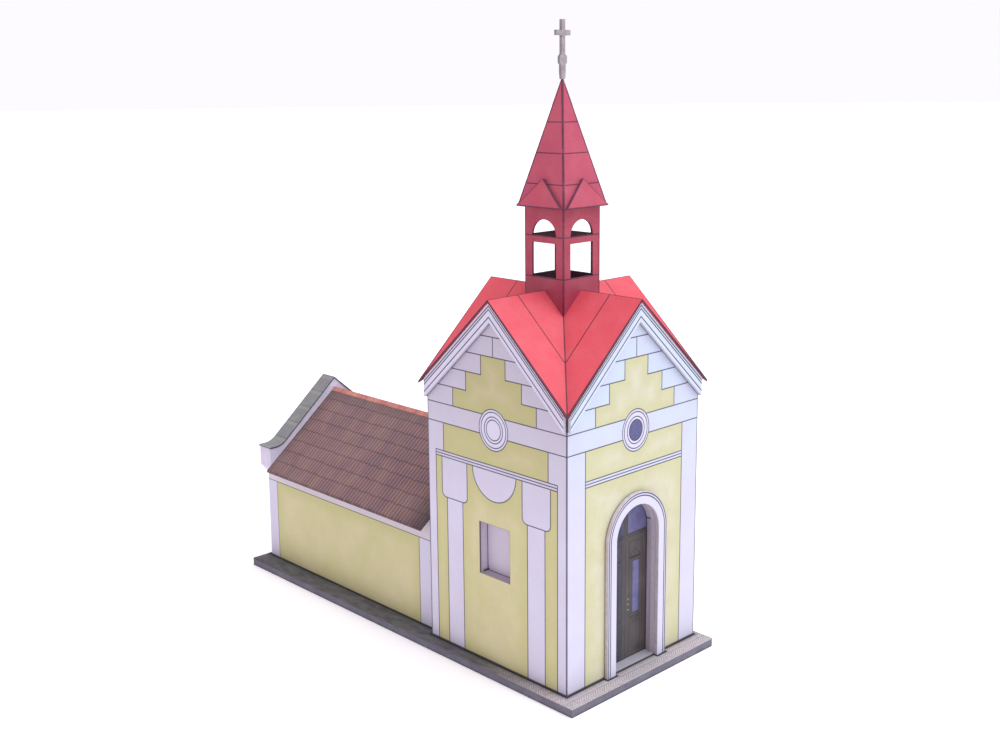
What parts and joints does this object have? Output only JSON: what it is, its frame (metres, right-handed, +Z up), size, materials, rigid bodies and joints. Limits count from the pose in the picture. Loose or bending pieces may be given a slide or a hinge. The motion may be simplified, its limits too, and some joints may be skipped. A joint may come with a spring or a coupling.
{
  "type": "chapel model",
  "caption": "Card model of a small chapel with a four-gabled tower, open belfry, spire and cross, and a lower rear wing with a parapet gable, on a flat board.",
  "frame": {"origin": "centre of the underside of the base board", "axes": "+Z up, -Y out of the door wall, +X to the right when facing the door"},
  "size_m": [0.0444, 0.1098, 0.1319],
  "materials": {
    "grey_board": "matt grey board, cut edges",
    "paving_print": "paper printed with herringbone paving",
    "wall_print": "printed card, white with yellow fields and dark lines",
    "trim_board": "white board with printed lines",
    "white_card": "white printed card",
    "door_print": "paper printed with a dark two-leaf door and blue glass",
    "roof_print": "red printed paper with dark seam lines",
    "belfry_print": "pink-red printed card with dark lines",
    "spire_print": "pink-red printed card with dark lines",
    "cross_card": "grey card, cut edges",
    "tile_print": "paper printed with ribbed brown tiles",
    "ridge_print": "orange-red printed paper",
    "parapet_card": "white printed card",
    "stone_print": "paper printed with grey stone blocks"
  },
  "bodies": {
    "root": {"base_board": "grey_board", "paving_sheet": "paving_print", "front_wall": "wall_print", "left_wall": "wall_print", "right_wall": "wall_print", "back_wall": "wall_print", "front_rake_cornice": "trim_board", "left_rake_cornice": "trim_board", "right_rake_cornice": "trim_board", "back_rake_cornice": "trim_board", "door_surround": "trim_board", "door_reveal": "white_card", "door_leaves": "door_print", "threshold": "white_card", "left_niche": "white_card", "right_niche": "white_card", "tower_roof": "roof_print", "belfry_front_wall": "belfry_print", "belfry_left_wall": "belfry_print", "belfry_right_wall": "belfry_print", "belfry_back_wall": "belfry_print", "spire": "spire_print", "spire_front_gablet": "spire_print", "spire_left_gablet": "spire_print", "spire_right_gablet": "spire_print", "spire_back_gablet": "spire_print", "cross": "cross_card", "wing_left_wall": "wall_print", "wing_right_wall": "wall_print", "wing_rear_wall": "wall_print", "wing_roof": "tile_print", "ridge_strip": "ridge_print", "parapet": "parapet_card", "left_kneeler": "parapet_card", "right_kneeler": "parapet_card", "left_coping": "stone_print", "right_coping": "stone_print"}
  },
  "joints": []
}
